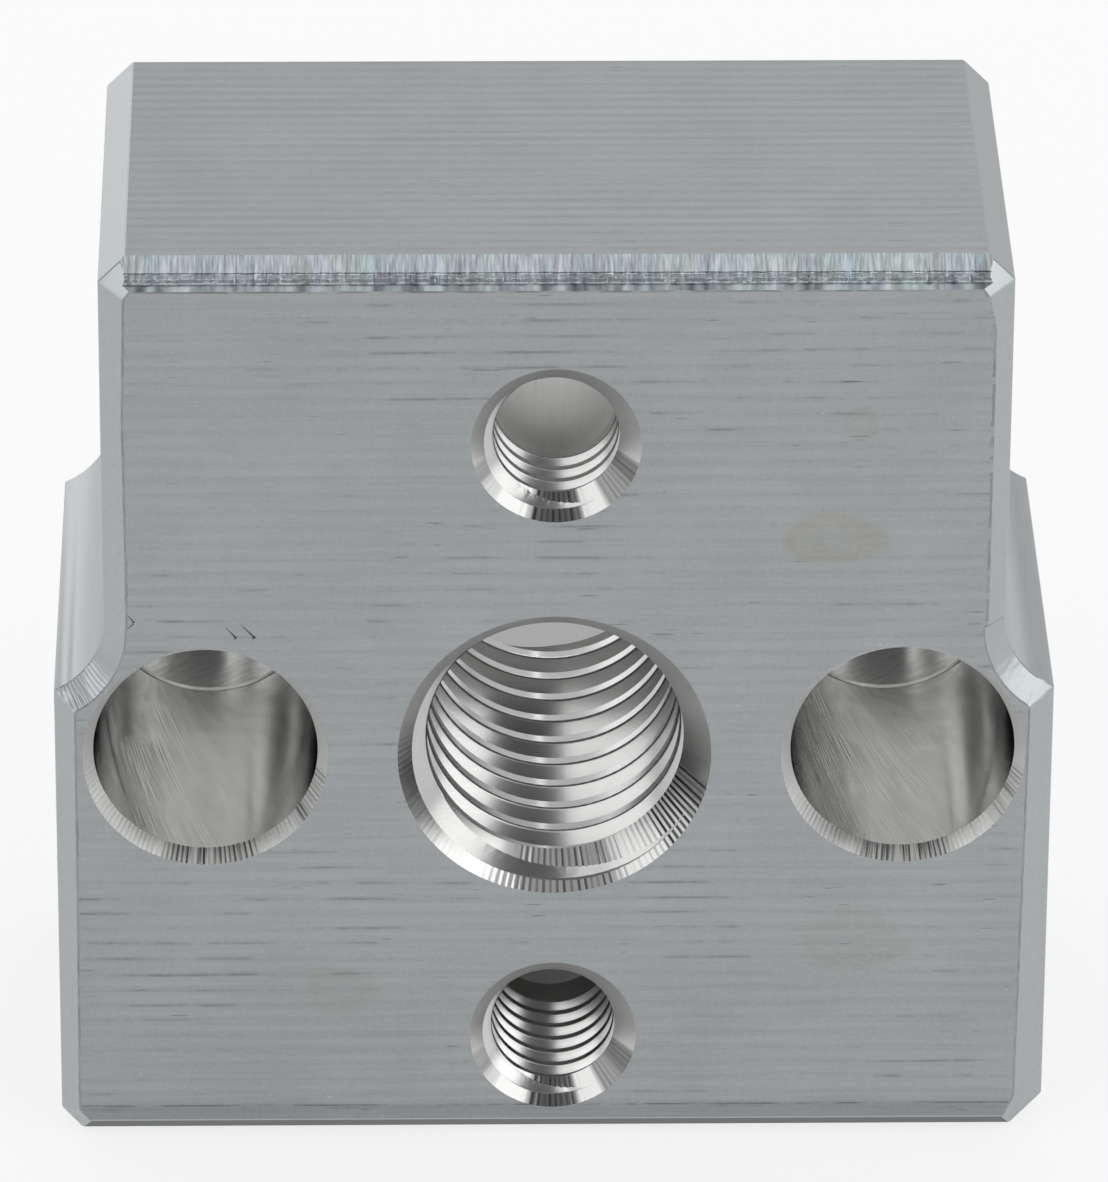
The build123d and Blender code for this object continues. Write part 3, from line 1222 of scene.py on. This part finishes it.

# %% [markdown]
# The edge between the top and the front was cut in a second pass, and the two passes didn't meet. It has a
# bright chamfer, a fine step, a steeper band and a thin rolled lip, all crossed by chatter; the steeper band
# and the lip are dark from painted shade in their finish. Its cutter is a bar with that section, swept from
# side to side in many short steps, and its points are then shaken.

# %% Sweep a section


def swept_bar(name, corners, path, finish):
    """A bar whose section has the given corners, swept along or round an axis and closed at both ends."""
    bpy.ops.object.select_all(action="DESELECT")
    bpy.ops.mesh.primitive_circle_add(vertices=len(corners), radius=MM, fill_type="NOTHING")
    bar = bpy.context.object
    bar.name = name
    for vertex, corner in zip(bar.data.vertices, corners):
        vertex.co = corner
    bpy.ops.object.modifier_add(type="SCREW")
    sweep = bar.modifiers[-1]
    sweep.axis = path["axis"]
    sweep.angle = path["angle"]
    sweep.screw_offset = path["advance"]
    sweep.iterations = path["repeats"]
    sweep.steps = path["steps"]
    sweep.render_steps = path["steps"]
    bpy.ops.object.modifier_apply(modifier=sweep.name)
    bpy.ops.object.mode_set(mode="EDIT")
    bpy.ops.mesh.select_all(action="SELECT")
    bpy.ops.mesh.fill_holes(sides=len(corners))
    bpy.ops.mesh.select_all(action="SELECT")
    bpy.ops.mesh.normals_make_consistent(inside=False)
    close_piece()
    bar.data.materials.append(finish)
    print(name, "has", len(bar.data.vertices), "points")
    return bar


# %% Chamfer between top and front
bar_overrun = 0.5 * MM
bar_length = 2 * upper_x + 2 * bar_overrun
chatter_step = 0.04 * MM
bright_band = 0.35 * MM
band_steps = [(0.37, -0.35), (0.38, -0.375), (0.345, -0.39), (0.265, -0.49), (0.215, -0.64)]
lip_run = 0.5 * MM
lip_fall = 0.186 * MM
top_section = [
    (top_front_chamfer + lip_run, lip_run),
    *[(back * MM, down * MM) for back, down in band_steps],
    (-lip_run, -top_front_chamfer - lip_fall),
    (-lip_run, lip_run),
]
corners = [(-bar_length / 2, front_y + back, top_z + down) for back, down in top_section]
steps = round(bar_length / chatter_step)
path = {"axis": "X", "angle": 0, "advance": bar_length, "repeats": 1, "steps": steps}
top_bar = swept_bar("top_chamfer_cutter", corners, path, chatter_and_painted_shade)
bright_shake = 0.008 * MM
dark_shake = 0.020 * MM
for vertex in top_bar.data.vertices:
    x = vertex.co.x / MM
    depth_in = top_z - vertex.co.z
    line = noise.noise(Vector((x * 4, 0, 1))) + 0.6 * noise.noise(Vector((x * 9, 3, 1)))
    if vertex.co.y > front_y + bright_band:
        change = bright_shake * line
    else:
        change = dark_shake * (0.3 * line + noise.noise(Vector((x * 5, depth_in / MM * 9, 7))))
    vertex.co += Vector((0, change, change))
carve(block, top_bar)

# %% [markdown]
# Handling left a few nicks in the soft front face. Each one is a short groove that gets deeper toward its
# end. Its tool is a square bar that stands on its edge and dips a little, so that only the edge bites.

# %% Nicks
nick_bar = 0.2 * MM
nick_dip = math.radians(6)
nicks = [
    (-8.76, 15.60, -8.47, 15.24, 0.055),
    (-8.35, 15.68, -7.98, 15.24, 0.07),
    (-11.38, 16.02, -11.17, 15.72, 0.04),
    (-11.40, 15.50, -11.17, 15.70, 0.04),
]
for start_x, start_z, end_x, end_z, depth in nicks:
    stroke = Vector((end_x - start_x, 0, end_z - start_z)) * MM
    centre = Vector((start_x + end_x, 0, start_z + end_z)) * MM / 2
    centre.y = front_y - nick_bar * math.sqrt(0.5) + depth * MM / 2
    bpy.ops.object.select_all(action="DESELECT")
    bpy.ops.mesh.primitive_cube_add(size=1, location=centre, scale=(stroke.length, nick_bar, nick_bar))
    nick = bpy.context.object
    nick.name = "nick_tool"
    bpy.ops.object.transform_apply(location=False, rotation=False, scale=True)
    along_stroke = Matrix.Rotation(-math.atan2(stroke.z, stroke.x), 4, "Y")
    dipped = along_stroke @ Matrix.Rotation(nick_dip, 4, "Z") @ Matrix.Rotation(math.pi / 4, 4, "X")
    nick.rotation_euler = dipped.to_euler()
    bpy.ops.object.transform_apply(location=True, rotation=True, scale=True)
    # The nick takes the burr finish, whose darker tone is painted shade in the groove.
    nick.data.materials.append(burr_with_painted_shade)
    carve(block, nick)

# %% [markdown]
# The holes come from tools that are turned like a lathe's work: a disc is extruded into the block step by
# step, and resized at each step. A countersink trembles in soft metal and leaves fine ribs, so the points
# of its tool are moved in and out by a wave round the axis.

# %% Turned tools


def turned_tool(name, x, z, steps, finish, segments, floor_finish=None):
    """A round cutting tool. Each step is a radius and its depth behind the front face."""
    radius, depth = steps[0]
    bpy.ops.object.select_all(action="DESELECT")
    bpy.ops.mesh.primitive_circle_add(
        vertices=segments,
        radius=radius,
        fill_type="NGON",
        location=(x, front_y + depth, z),
        rotation=(math.pi / 2, 0, 0),
    )
    tool = bpy.context.object
    tool.name = name
    bpy.ops.object.mode_set(mode="EDIT")
    bpy.ops.mesh.select_all(action="SELECT")
    for new_radius, new_depth in steps[1:]:
        move = {"value": (0, new_depth - depth, 0)}
        bpy.ops.mesh.extrude_region_move(TRANSFORM_OT_translate=move)
        ratio = new_radius / radius
        bpy.ops.transform.resize(value=(ratio, 1, ratio), center_override=(x, front_y + new_depth, z))
        radius, depth = new_radius, new_depth
    bpy.ops.mesh.select_all(action="SELECT")
    bpy.ops.mesh.normals_make_consistent(inside=False)
    close_piece()
    bpy.ops.object.transform_apply(location=True, rotation=True, scale=True)
    tool.data.materials.append(finish)
    if floor_finish:
        tool.data.materials.append(floor_finish)
        for face in tool.data.polygons:
            face.material_index = int(face.normal.y > 0.4)
    return tool


def add_ribs(tool, x, z, count, height, zones, seed):
    """Ribs round the axis. A zone says where they are: from and to an angle and a depth, and how strong."""
    fade = 4.0
    for vertex in tool.data.vertices:
        spoke = Vector((vertex.co.x - x, 0, vertex.co.z - z))
        if spoke.length < TINY:
            continue
        spoke.normalize()
        turn = math.degrees(math.atan2(spoke.z, spoke.x)) % 360
        depth = (vertex.co.y - front_y) / MM
        strength = 0.0
        for first, last, shallow, deep, share in zones:
            if shallow <= depth <= deep:
                inside = ramp(turn, first, first + fade) * (1 - ramp(turn, last - fade, last))
                strength = max(strength, share * inside)
        drift = 2.5 * noise.noise(spoke * 5 + Vector((0, seed, 0)))
        uneven = 0.8 + noise.noise(spoke * 14 + Vector((0, seed + 3, 0)))
        vertex.co += spoke * (height * strength * uneven * math.sin(count * math.radians(turn) + drift))


# %% [markdown]
# The large hole and the two small ones are tapped. A tap cuts a groove that runs round the hole like a
# spiral stair, with flanks at thirty degrees and a narrow flat root. The groove's section is swept round
# the hole's axis, and a slight flare at its mouth rounds the crests.

# %% Thread grooves
half_flank = math.radians(30)
crest_turn = math.radians(60)
crest_points = 6
steps_a_turn = 72
wall_clearance = 0.004 * MM


def groove_outline(crest_radius, root_radius, pitch):
    """The section of the groove as radius and place along the axis, from one crest round to the other."""
    root_half = pitch / 16
    mouth_half = root_half + (root_radius - crest_radius) * math.tan(half_flank)
    rounding = 0.3 * (pitch - 2 * mouth_half)
    arc_along = mouth_half + rounding * math.tan(crest_turn / 2)
    arc_radius = crest_radius + rounding
    side = [(root_radius, root_half)]
    for index in range(crest_points):
        turn = crest_turn * (1 - index / (crest_points - 1))
        side.append((arc_radius - rounding * math.cos(turn), arc_along - rounding * math.sin(turn)))
    side.append((crest_radius - 0.4 * rounding, arc_along))
    return side + [(radius, -along) for radius, along in reversed(side)]


def thread_tool(name, z, radii, pitch, start_depth, turns, finish):
    """The groove of a tapped hole as a solid, from in front of the face to its last turn."""
    corners = [(radius, along, 0) for radius, along in groove_outline(*radii, pitch)]
    path = {"axis": "Y", "angle": 2 * math.pi, "advance": pitch, "repeats": turns, "steps": steps_a_turn}
    tool = swept_bar(name, corners, path, finish)
    tool.location = (0, front_y + start_depth, z)
    bpy.ops.object.transform_apply(location=True, rotation=True, scale=True)
    return tool


# %% Countersink cones
rim_segments = 720
rib_count = 140
rim_rib_height = 0.012 * MM
ring_shares = (0.02, 0.2, 0.35, 0.6, 0.75, 0.95)


def rim_steps(radius, width, depth, inside):
    """A countersink's cone with rings along its slope, longer than the rim at both ends."""
    slope = width / depth
    rings = [-mouth_overrun, *[share * depth for share in ring_shares], depth + inside / slope]
    return [(radius + width - slope * ring, ring) for ring in rings]


# %% Plain bores at the sides
bore_rib_zones = [
    (185, 262, -1, 1, 0.35),
    (250, 292, -1, 1, 1.0),
    (285, 325, -1, 1, 0.5),
    (318, 352, -1, 1, 0.9),
]
bore_finishes = {-1: (left_bore_wall, left_rim_cut), 1: (right_bore_wall, right_rim_cut)}
for side, (bore_wall, rim_cut) in bore_finishes.items():
    x = side * bore_x
    wall = [
        (bore_radius, -mouth_overrun),
        (bore_radius, bore_depth - bore_floor_break),
        (bore_radius - bore_floor_break, bore_depth),
    ]
    carve(block, turned_tool("bore_tool", x, hole_row_z, wall, bore_wall, 160, bore_floor))
    rim = rim_steps(bore_radius, bore_rim_width, bore_rim_depth, 0.1 * MM)
    rim_tool = turned_tool("bore_rim_tool", x, hole_row_z, rim, rim_cut, rim_segments)
    add_ribs(rim_tool, x, hole_row_z, rib_count, rim_rib_height, bore_rib_zones, 3 + side)
    carve(block, rim_tool)

# %% The large thread
centre_rib_zones = [
    (246, 290, -1, 0.25, 0.8),
    (254, 296, 0.6, 2, 1.0),
    (290, 320, -1, 2, 0.3),
    (315, 349, -1, 2, 1.2),
    (170, 200, -1, 0.4, 0.25),
    (215, 250, -1, 0.3, 0.3),
]
centre_thread_start = -1.1725 * MM
centre_thread_turns = 13
through = cad_high.y - front_y
centre_wall = centre_radius + wall_clearance
wall = [
    (centre_wall, -mouth_overrun),
    (centre_wall, through - centre_back_break),
    (centre_wall + 2 * centre_back_break, through + centre_back_break),
]
carve(block, turned_tool("centre_drill", 0, hole_row_z, wall, centre_thread_cut, 144))
rim = rim_steps(centre_radius, centre_rim_width, centre_rim_depth, 0.15 * MM)
rim_tool = turned_tool("centre_countersink", 0, hole_row_z, rim, centre_rim_cut, rim_segments)
add_ribs(rim_tool, 0, hole_row_z, rib_count, rim_rib_height, centre_rib_zones, 11)
carve(block, rim_tool)
radii = (centre_radius, centre_root_radius)
thread = (centre_pitch, centre_thread_start, centre_thread_turns)
carve(block, thread_tool("centre_tap", hole_row_z, radii, *thread, centre_thread_cut))

# %% The small threads
small_rib_zones = [(230, 300, -1, 2, 0.5), (300, 350, -1, 2, 0.3)]
small_rib_count = 60
small_rib_height = 0.006 * MM
small_thread_start = -0.6 * MM
small_holes = [
    (upper_hole_z, upper_hole_depth, False, upper_rim_cut, upper_thread_cut),
    (lower_hole_z, lower_hole_depth, True, lower_rim_cut, lower_thread_cut),
]
for z, depth, pointed, rim_cut, thread_cut in small_holes:
    small_wall = small_radius + wall_clearance
    wall = [(small_wall, -mouth_overrun), (small_wall, depth)]
    if pointed:
        point = small_radius / math.tan(drill_half_angle)
        wall.append((0.02 * MM, depth + point))
    carve(block, turned_tool("small_drill", 0, z, wall, thread_cut, 96, small_floor))
    rim = rim_steps(small_radius, small_rim_width, small_rim_depth, 0.1 * MM)
    rim_tool = turned_tool("small_countersink", 0, z, rim, rim_cut, 480)
    add_ribs(rim_tool, 0, z, small_rib_count, small_rib_height, small_rib_zones, z / MM)
    carve(block, rim_tool)
    radii = (small_radius, small_root_radius)
    thread = (small_pitch, small_thread_start, int((depth + 0.5 * MM) / small_pitch))
    carve(block, thread_tool("small_tap", z, radii, *thread, thread_cut))

# %% Finish the mesh
alone(block)
bpy.ops.object.mode_set(mode="EDIT")
bpy.ops.mesh.select_all(action="SELECT")
bpy.ops.mesh.remove_doubles(threshold=TINY / 1000)
close_piece()
bpy.ops.object.shade_smooth_by_angle(angle=math.radians(15))
triangles = sum(len(face.vertices) - 2 for face in block.data.polygons)
print("block:", len(block.data.polygons), "faces,", triangles, "triangles")

# %% Hand over to the frame
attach(block, "root")
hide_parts("mounting_block")
